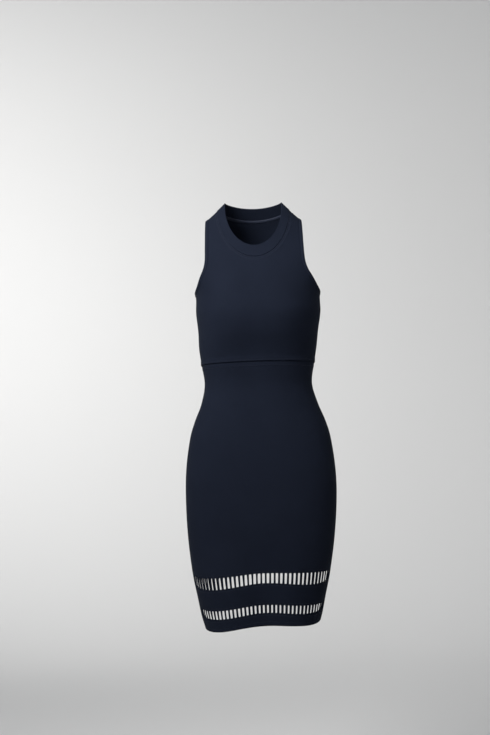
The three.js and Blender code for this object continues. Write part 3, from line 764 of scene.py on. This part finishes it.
def stitch_row(spots, out, closed=False):
    """Row of stitches along a line of spots. Each is a small closed bead of thread: rings of points
    round its axis, with the radius of an ellipse along it, and a point at both ends. It lies along the
    line and stands out from the form as the cloth does."""
    running, places, path, along, normal = steps_along(spots, STITCH_PITCH, closed)
    if not closed:
        out = np.interp(places, running, out + 0 * running)[:, None]
    beside = np.cross(normal, along)
    turn = np.arange(BEAD_SIDES) * math.tau / BEAD_SIDES
    radius = THREAD / 2 * np.sqrt(1 - BEAD_RINGS**2)
    rings = np.stack([
        np.broadcast_to(BEAD_RINGS[:, None] * STITCH_LENGTH / 2, (len(BEAD_RINGS), BEAD_SIDES)),
        radius[:, None] * np.cos(turn),
        radius[:, None] * np.sin(turn) * BEAD_FLATNESS,
    ], -1).reshape(-1, 3)
    bead = np.concatenate([rings, [[-STITCH_LENGTH / 2, 0, 0], [STITCH_LENGTH / 2, 0, 0]]])
    frames = np.stack([along, beside, normal], 1)
    base = path + normal * out
    vertices = base[:, None] + np.einsum("vk,skx->svx", bead, frames)
    i, j = np.arange(BEAD_SIDES), (np.arange(BEAD_SIDES) + 1) % BEAD_SIDES
    first_tip, last_tip = len(rings), len(rings) + 1
    last = first_tip - BEAD_SIDES
    sides = [
        np.stack([i + ring, i + ring + BEAD_SIDES, j + ring + BEAD_SIDES, j + ring], 1)
        for ring in range(0, last, BEAD_SIDES)
    ]
    start = np.stack([np.full(BEAD_SIDES, first_tip), i, j, j], 1)
    end = np.stack([np.full(BEAD_SIDES, last_tip), j + last, i + last, i + last], 1)
    faces = np.concatenate([*sides, start, end])
    faces = (faces + np.arange(len(path))[:, None, None] * len(bead)).reshape(-1, 4)
    return vertices.reshape(-1, 3), faces


def stitches(name, *rows):
    """One object from several rows of stitches, with three-cornered faces at the ends of each bead."""
    vertices, faces, start = [], [], 0
    for points, corners in rows:
        vertices.append(points)
        faces.append(corners + start)
        start += len(points)
    faces = np.concatenate(faces)
    quads = faces[faces[:, 2] != faces[:, 3]].tolist()
    corners = faces[faces[:, 2] == faces[:, 3]][:, :3].tolist()
    return mesh_object(name, np.concatenate(vertices), quads + corners)


def socket(tree, name, kind, inward, value=None):
    """Adds a named socket to a node group, with a value where one is given."""
    made = tree.interface.new_socket(name=name, in_out="INPUT" if inward else "OUTPUT", socket_type=kind)
    if value is not None:
        made.default_value = value


class Nodes:
    """Short ways to place and join nodes in a tree."""

    def __init__(self, tree):
        self.tree = tree

    def add(self, kind, inputs=None, **settings):
        node = self.tree.nodes.new(kind)
        for key, value in settings.items():
            setattr(node, key, value)
        for key, value in (inputs or {}).items():
            if isinstance(value, bpy.types.NodeSocket):
                self.tree.links.new(value, node.inputs[key])
            else:
                node.inputs[key].default_value = value
        return node

    def math(self, operation, *values, clamp=False):
        inputs = dict(enumerate(values))
        return self.add("ShaderNodeMath", inputs, operation=operation, use_clamp=clamp).outputs[0]


def knit_group():
    """Compact knit: columns of V-shaped stitches. Across a column, d is the distance from its middle, and
    a stitch's phase is its height in rows plus the slant times d. The relief is a cosine of the phase,
    times a crown over the column. Lint is a fine noise, and tone a broad one."""
    tree = bpy.data.node_groups.new("compact_knit", "ShaderNodeTree")
    socket(tree, "Cloth Place", "NodeSocketVector", True)
    socket(tree, "Object Place", "NodeSocketVector", True)
    socket(tree, "Column Width", "NodeSocketFloat", True, WALE * MM)
    socket(tree, "Row Height", "NodeSocketFloat", True, COURSE * MM)
    socket(tree, "Relief", "NodeSocketFloat", False)
    socket(tree, "Lint", "NodeSocketFloat", False)
    socket(tree, "Tone", "NodeSocketFloat", False)
    n = Nodes(tree)
    given = n.add("NodeGroupInput").outputs
    place = n.add("ShaderNodeSeparateXYZ", {0: given["Cloth Place"]}).outputs
    column = n.math("FRACT", n.math("DIVIDE", place["X"], given["Column Width"]))
    d = n.math("ABSOLUTE", n.math("SUBTRACT", column, 0.5))
    phase = n.math("ADD", n.math("DIVIDE", place["Y"], given["Row Height"]), n.math("MULTIPLY", d, SLANT))
    yarn = n.math("MULTIPLY_ADD", n.math("COSINE", n.math("MULTIPLY", phase, math.tau)), 0.5, 0.5)
    crown = n.math("SUBTRACT", 1.0, n.math("POWER", n.math("MULTIPLY", d, 2.0), CROWN_POWER))
    relief = n.math("MULTIPLY", crown, n.math("MULTIPLY_ADD", yarn, YARN_PART, 1 - YARN_PART))
    on_object = given["Object Place"]
    lint = n.add("ShaderNodeTexNoise", {"Vector": on_object, "Scale": LINT_SCALE, "Detail": 2.0})
    tone = n.add("ShaderNodeTexNoise", {"Vector": on_object, "Scale": TONE_SCALE, "Detail": 3.0})
    n.add("NodeGroupOutput", {
        "Relief": relief,
        "Lint": lint.outputs["Fac"],
        "Tone": tone.outputs["Fac"],
    })
    return tree


KNIT = knit_group()

# Parts of the knit's lightness: slow changes of tone and where they start, painted shade from the relief
# (darker grooves, lighter stitch crowns), lint, worn edges
TONE_PART, TONE_START, PAINTED_RELIEF_SHADE_PART, LINT_PART, EDGE_PART = 0.7, -0.15, 0.35, 0.3, 0.5
LINT_HEIGHT, LINT_ROUGHNESS = 0.3, 0.12


def knit_material(name, shade, light, column, row, roughness, depth):
    """Matte knit: the colour runs from shade to light with the tone, the lint, painted shade from the
    relief (darker in the grooves between stitches, lighter on their crowns) and the wear at the edges, and
    the relief gives the bump."""
    material = bpy.data.materials.new(name)
    material.use_nodes = True
    tree = material.node_tree
    tree.nodes.clear()
    n = Nodes(tree)
    cloth = n.add("ShaderNodeUVMap", uv_map="cloth").outputs["UV"]
    place = n.add("ShaderNodeTexCoord").outputs["Object"]
    knit = n.add("ShaderNodeGroup", node_tree=KNIT)
    for key, value in (("Column Width", column * MM), ("Row Height", row * MM)):
        knit.inputs[key].default_value = value
    tree.links.new(cloth, knit.inputs["Cloth Place"])
    tree.links.new(place, knit.inputs["Object Place"])
    out = knit.outputs
    edge = n.add("ShaderNodeAttribute", attribute_name="edge").outputs["Fac"]
    amount = n.math("MULTIPLY_ADD", out["Tone"], TONE_PART, TONE_START)
    # Painted shade: the relief darkens the colour in the knit's grooves and lightens it on the stitch
    # crowns
    amount = n.math("MULTIPLY_ADD", out["Relief"], PAINTED_RELIEF_SHADE_PART, amount)
    amount = n.math("MULTIPLY_ADD", out["Lint"], LINT_PART, amount)
    amount = n.math("MULTIPLY_ADD", edge, EDGE_PART, amount, clamp=True)
    colour = n.add("ShaderNodeMix", {0: amount, 6: (*shade, 1), 7: (*light, 1)}, data_type="RGBA")
    height = n.math("MULTIPLY_ADD", out["Lint"], LINT_HEIGHT, out["Relief"])
    normal = n.add("ShaderNodeBump", {"Height": height, "Distance": depth * MM, "Strength": 1.0})
    rough = n.math("MULTIPLY_ADD", out["Lint"], LINT_ROUGHNESS, roughness - LINT_ROUGHNESS / 2)
    shader = n.add("ShaderNodeBsdfPrincipled", {
        "Base Color": colour.outputs[2],
        "Roughness": rough,
        "Normal": normal.outputs[0],
        "Specular IOR Level": 0.03,
        "Sheen Weight": 0.01,
        "Sheen Roughness": 0.5,
        "Sheen Tint": (0.55, 0.65, 0.9, 1),
    })
    n.add("ShaderNodeOutputMaterial", {"Surface": shader.outputs[0]})
    return material


# Darkest and lightest knit colour; tone, lint, worn edges and the relief's painted shade move between them
SHADE, LIGHT = (0.0048, 0.0066, 0.0122), (0.0078, 0.0104, 0.0188)
THREAD_SHADE, THREAD_LIGHT = (0.010, 0.013, 0.023), (0.018, 0.023, 0.040)
BODY_KNIT = knit_material("body_knit", SHADE, LIGHT, WALE, COURSE, 0.8, 0.16)
BAND_KNIT = knit_material("band_knit", SHADE, LIGHT, WALE * 0.9, COURSE * 0.9, 0.8, 0.14)
LADDER_KNIT = knit_material("ladder_knit", SHADE, LIGHT, WALE * 0.8, COURSE * 0.85, 0.8, 0.14)


def thread_material():
    """Sewing thread, a little glossier than the knit: its twist is a slanting wave over the thread, which
    gives the bump and painted shade, darker in the twist's grooves and lighter on its crests.
    """
    material = bpy.data.materials.new("navy_thread")
    material.use_nodes = True
    material.node_tree.nodes.clear()
    n = Nodes(material.node_tree)
    place = n.add("ShaderNodeTexCoord").outputs["Object"]
    wave = {"Vector": place, "Scale": TWIST_SCALE, "Distortion": 2.0}
    twist = n.add("ShaderNodeTexWave", wave, bands_direction="DIAGONAL")
    # Painted shade: the twist wave darkens the colour in the thread's grooves and lightens it on the crests
    shades = {0: twist.outputs["Fac"], 6: (*THREAD_SHADE, 1), 7: (*THREAD_LIGHT, 1)}
    colour = n.add("ShaderNodeMix", shades, data_type="RGBA")
    normal = n.add("ShaderNodeBump", {"Height": twist.outputs["Fac"], "Distance": 0.00005})
    shader = n.add("ShaderNodeBsdfPrincipled", {
        "Base Color": colour.outputs[2], "Normal": normal.outputs[0],
        "Roughness": 0.55, "Specular IOR Level": 0.2,
    })
    n.add("ShaderNodeOutputMaterial", {"Surface": shader.outputs[0]})
    return material


THREAD_MATERIAL = thread_material()


def finished(obj, node, material):
    """Gives a piece its material and its body, and lets it stand for its CAD node."""
    obj.data.materials.append(material)
    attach(obj, "root")
    if node:
        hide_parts(node)
    return obj


NECK_STATIONS = [
    (even_cuts(lambda t: neck_spot(1.0, t, at_back), NECK_CELLS[at_back])[:-1], at_back)
    for at_back in (False, True)
]
ARMHOLE_CUTS = np.concatenate([FRONT_CUTS, BACK_CUTS[1:-1]])


def neck_ring(band):
    """Ring of spots round the neck opening, for a place in the neckband."""
    ring = np.concatenate([neck_spot(band, cuts, at_back) for cuts, at_back in NECK_STATIONS])
    past_back = (np.arange(len(ring)) >= NECK_CELLS[0]) & (ring[:, 0] < 0)
    return ring + np.stack([math.tau * past_back, 0 * past_back], -1)


def armhole_ring(inset, on_right):
    """Ring of spots round an armhole, moved into the cloth."""
    ring = armhole_inset(ARMHOLE_CUTS, inset)
    return mirrored(ring)[::-1] if on_right else ring


def seam_ring(level, above=0.0):
    """Spots all round the body on a seam, or above it."""
    return seam_spot(level, np.linspace(-np.pi, np.pi, RING_CELLS, endpoint=False), above)


def straight_line(start, end, cells=120):
    """Even spots on a straight line between two spots."""
    return np.linspace(0, 1, cells)[:, None] * (np.asarray(end) - start) + start


# Bodice
SIDES = (("left", False), ("right", True))
HALVES = (("front", False), ("back", True))
for half, at_back in HALVES:
    spots = split_rows(split_rows(bodice_spots(at_back), *UNDERBUST_FINE)[::-1], *NECK_FINE)[::-1]
    spots, share = rounded_grid(spots, CLOTH / 2)
    finished(
        shell(f"knit_bodice_{half}", spots, share, CLOTH, bodice_relief(spots, at_back)),
        f"bodice_{half}", BODY_KNIT,
    )

# Neckband: a ring with a raised seam edge and a soft roll along its free edge
spots = np.stack([neck_ring(band) for band in np.linspace(1, 0, NECKBAND_ROWS + 1)])
spots, share = rounded_grid(spots, DOUBLED / 2, ring=True)
rise = np.linspace(0, 1, len(share))[:, None]
roll = PROUD + line_relief(rise, BAND_SEAM_ROLL) + line_relief(rise, BAND_FREE_ROLL) + 0 * share
neckband = finished(
    shell("knit_neckband", spots, share, DOUBLED, roll, ring=True),
    "neckband", BAND_KNIT,
)

# Armhole bindings
for side, on_right in SIDES:
    insets = np.linspace(BINDING_WIDTH, 0, BINDING_ROWS + 1)
    spots, share = rounded_grid(
        np.stack([armhole_ring(inset, on_right) for inset in insets]), DOUBLED / 2, ring=True,
    )
    finished(
        shell(f"knit_armhole_binding_{side}", spots, share, DOUBLED, PROUD + 0 * share, ring=True),
        f"armhole_binding_{side}", BAND_KNIT,
    )

# Skirt, plain bands and ladders
UPPER_TOP, UPPER_FOOT = raised(UPPER_SLOT_TOP, LADDER_STRIP), raised(UPPER_SLOT_FOOT, -LADDER_STRIP)
LOWER_TOP, LOWER_FOOT = raised(LOWER_SLOT_TOP, LADDER_STRIP), raised(LOWER_SLOT_FOOT, -LADDER_STRIP)
LADDERS = (
    ("upper", (UPPER_TOP, UPPER_SLOT_TOP, UPPER_SLOT_FOOT, UPPER_FOOT), UPPER_SLOT),
    ("lower", (LOWER_TOP, LOWER_SLOT_TOP, LOWER_SLOT_FOOT, LOWER_FOOT), LOWER_SLOT),
)
skirt, middle_band, hem_band, ladders = {}, {}, {}, {}
for half, at_back in HALVES:
    spots = stretch_spots(UNDERBUST, UPPER_TOP, at_back, SKIRT_ROWS)
    spots, share = rounded_grid(split_rows(spots[::-1], *UNDERBUST_FINE)[::-1], CLOTH / 2)
    skirt[half] = finished(
        shell(f"knit_skirt_{half}", spots, share, CLOTH, skirt_relief(spots)),
        f"skirt_{half}", BODY_KNIT,
    )
    spots, share = rounded_grid(stretch_spots(UPPER_FOOT, LOWER_TOP, at_back, BAND_ROWS), CLOTH / 2)
    middle_band[half] = finished(
        shell(f"knit_band_middle_{half}", spots, share, CLOTH, 0 * share),
        f"band_middle_{half}", BODY_KNIT,
    )
    spots, share = rounded_grid(stretch_spots(LOWER_FOOT, HEM, at_back, BAND_ROWS), TURNED_HEM / 2)
    hem_band[half] = finished(
        shell(f"knit_hem_band_{half}", spots, share, TURNED_HEM, 0 * share),
        f"hem_band_{half}", BODY_KNIT,
    )
    for place, levels, slot_widths in LADDERS:
        spots, share, hole = ladder_grid(levels, slot_widths[at_back], SLOTS[at_back], at_back)
        ladders[place, half] = finished(
            shell(f"knit_ladder_{place}_{half}", spots, share, CLOTH, 0 * share, hole=hole),
            f"ladder_{place}_{half}", LADDER_KNIT,
        )


def sewn(obj):
    """Finishes a piece of thread with the thread material and the body."""
    return finished(obj, None, THREAD_MATERIAL)


# Rows of stitches on the outside
neck_rows = []
for beside_seam in NECK_STITCHES:
    for half, at_back in HALVES:
        line = neck_spot(1 + beside_seam / NECKBAND_WIDTH, np.linspace(0.01, 0.99, 200), at_back)
        neck_rows.append(stitch_row(line, bodice_relief(line, at_back)))
neck_stitches = sewn(stitches("stitches_neckband", *neck_rows))
armhole_stitches = {
    side: sewn(stitches(
        f"stitches_armhole_{side}",
        stitch_row(armhole_ring(BINDING_WIDTH - BINDING_STITCHES, on_right), PROUD, closed=True),
    ))
    for side, on_right in SIDES
}
RIDGE_OUT, RIDGE_BELOW, _ = UNDERBUST_RIDGE
underbust_stitches = sewn(stitches(
    "stitches_underbust",
    stitch_row(seam_ring(UNDERBUST, -RIDGE_BELOW), RIDGE_OUT, closed=True),
    stitch_row(seam_ring(UNDERBUST, LIP_STITCHES), LIP_OUT + 0.05, closed=True),
))
ladder_rows = (
    (UPPER_TOP, LADDER_STITCHES),
    (UPPER_FOOT, -LADDER_STITCHES),
    (LOWER_TOP, LADDER_STITCHES),
    (LOWER_FOOT, -LADDER_STITCHES),
    (HEM, HEM_STITCHES),
)
ladder_stitches = sewn(stitches(
    "stitches_ladders",
    *(stitch_row(seam_ring(level, above), 0, closed=True) for level, above in ladder_rows),
))


def both_sides(line):
    """A line on the wearer's left, and its mirror image run the other way."""
    return line, mirrored(line)[::-1]


# Overlocked seam edges on the inside
neck_edge = sewn(
    seam_edges("seam_edge_neck", seam_edge(neck_ring(1.0), NECK_EDGE, closed=True)),
)
armhole_edges = {
    side: sewn(seam_edges(
        f"seam_edge_armhole_{side}",
        seam_edge(armhole_ring(BINDING_WIDTH, on_right), BINDING_EDGE, closed=True),
    ))
    for side, on_right in SIDES
}
BESIDE_BINDING, BESIDE_NECKBAND = BINDING_WIDTH + 1, 1.04
by_shoulder, under_arm = armhole_inset(np.array([0.0, 0.5]), BESIDE_BINDING)
at_side = np.array([QUARTER])
shoulder_seam = straight_line(by_shoulder, neck_spot(BESIDE_NECKBAND, 1.0, False))
shoulder_seam[:, 1] = 0
bodice_side = straight_line(under_arm, seam_spot(UNDERBUST, at_side, 1)[0])
skirt_side = straight_line(seam_spot(UNDERBUST, at_side, -1)[0], seam_spot(UPPER_TOP, at_side, 1)[0], 300)
bodice_edge = sewn(seam_edges(
    "seam_edges_bodice",
    seam_edge(seam_ring(UNDERBUST), UNDERBUST_EDGE, closed=True),
    *(seam_edge(line, EDGE_BOTH) for line in (*both_sides(shoulder_seam), *both_sides(bodice_side))),
))
skirt_edge = sewn(seam_edges(
    "seam_edges_skirt",
    seam_edge(seam_ring(UPPER_TOP), EDGE_ABOVE, closed=True),
    *(seam_edge(line, EDGE_BOTH) for line in both_sides(skirt_side)),
))
band_edge = sewn(seam_edges(
    "seam_edges_bands",
    seam_edge(seam_ring(UPPER_FOOT), EDGE_BELOW, closed=True),
    seam_edge(seam_ring(LOWER_TOP), EDGE_ABOVE, closed=True),
    seam_edge(seam_ring(LOWER_FOOT), EDGE_BELOW, ON_HEM, closed=True),
))

# Floor and backdrop in one sheet, lights and camera
FLOOR, FLAT_RADIUS, WALL_RADIUS, CURVE_HEIGHT, WALL_TOP = -1450, 2600, 5000, 2500, 3300


def studio_bowl(name, cells=128, steps=48):
    """Floor and backdrop as one bowl, seen from inside: a flat disc, a quarter ellipse up from it and a
    short upright wall, turned about the Z axis."""
    angle = np.linspace(0, QUARTER, steps + 1)
    radius = np.append(FLAT_RADIUS + (WALL_RADIUS - FLAT_RADIUS) * np.sin(angle), WALL_RADIUS)[:, None]
    height = np.append(FLOOR + CURVE_HEIGHT * (1 - np.cos(angle)), WALL_TOP)[:, None]
    turn = np.arange(cells) * math.tau / cells
    points = np.stack([radius * np.cos(turn), radius * np.sin(turn), height + 0 * turn], -1).reshape(-1, 3)
    points = np.concatenate([points, [[0, 0, FLOOR]]])
    i, j = np.arange(cells), (np.arange(cells) + 1) % cells
    rings = np.arange(len(radius) - 1)[:, None, None] * cells
    quads = (rings + np.stack([i, i + cells, j + cells, j], 1)).reshape(-1, 4)
    disc = np.stack([np.full(cells, len(points) - 1), i, j], 1)
    bowl = mesh_object(name, points, quads.tolist() + disc.tolist())
    return bowl


def plain_material(name, colour, roughness):
    """Even matte surface."""
    material = bpy.data.materials.new(name)
    material.use_nodes = True
    shader = material.node_tree.nodes["Principled BSDF"]
    shader.inputs["Base Color"].default_value = (*colour, 1)
    shader.inputs["Roughness"].default_value = roughness
    return material


stage = studio_bowl("studio_floor_and_backdrop")
stage.data.materials.append(plain_material("pale_studio", (0.78, 0.78, 0.775), 0.9))


def area_light(name, place, aim, size, power, colour, wide):
    """Soft square light at a place, turned to face its aim and spread over an angle. It doesn't show
    itself to the camera."""
    light = bpy.data.lights.new(name, "AREA")
    light.size, light.energy, light.color = size, power, colour
    light.spread = math.radians(wide)
    obj = bpy.data.objects.new(name, light)
    bpy.context.scene.collection.objects.link(obj)
    offset = np.array(aim) - np.array(place)
    flat = math.hypot(offset[0], offset[1])
    obj.location = place
    obj.rotation_euler = (math.atan2(flat, -offset[2]), 0, math.atan2(-offset[0], offset[1]))
    obj.visible_camera = False


LIGHTS = (  # name, place, aim, size, power, colour, spread in degrees
    ("key_light", (-0.8, -1.1, 0.65), (-0.03, 0, -0.1), 0.8, 22, (1.0, 0.985, 0.97), 110),
    ("fill_light", (1.5, -1.5, 0.15), (0.1, -0.05, -0.2), 0.4, 0.25, (0.98, 0.99, 1.0), 30),
    ("wall_light", (-2.1, 1.9, 1.5), (-1.0, 4.6, 0.15), 1.3, 34, (1.0, 0.99, 0.98), 110),
)
for light in LIGHTS:
    area_light(*light)

AIR_COLOUR, AIR_STRENGTH = (0.9, 0.92, 0.95, 1), 0.47
world = bpy.data.worlds.new("studio_air")
world.use_nodes = True
world.node_tree.nodes["Background"].inputs["Color"].default_value = AIR_COLOUR
world.node_tree.nodes["Background"].inputs["Strength"].default_value = AIR_STRENGTH
bpy.context.scene.world = world
bpy.context.scene.view_settings.view_transform = "Standard"

CAMERA_LENS, CAMERA_SENSOR, CAMERA_SHIFT = 69.6, 36, 0.0238
CAMERA_NEAR, CAMERA_FAR = 0.1, 50
CAMERA_PLACE, CAMERA_LEAN = (-0.0274, -3.0, -0.367), 0.94
camera_data = bpy.data.cameras.new("camera")
camera_data.lens, camera_data.sensor_width = CAMERA_LENS, CAMERA_SENSOR
camera_data.shift_y = CAMERA_SHIFT
camera_data.clip_start, camera_data.clip_end = CAMERA_NEAR, CAMERA_FAR
camera = bpy.data.objects.new("camera", camera_data)
camera.location = CAMERA_PLACE
camera.rotation_euler = (QUARTER, math.radians(CAMERA_LEAN), 0)
bpy.context.scene.collection.objects.link(camera)
bpy.context.scene.camera = camera
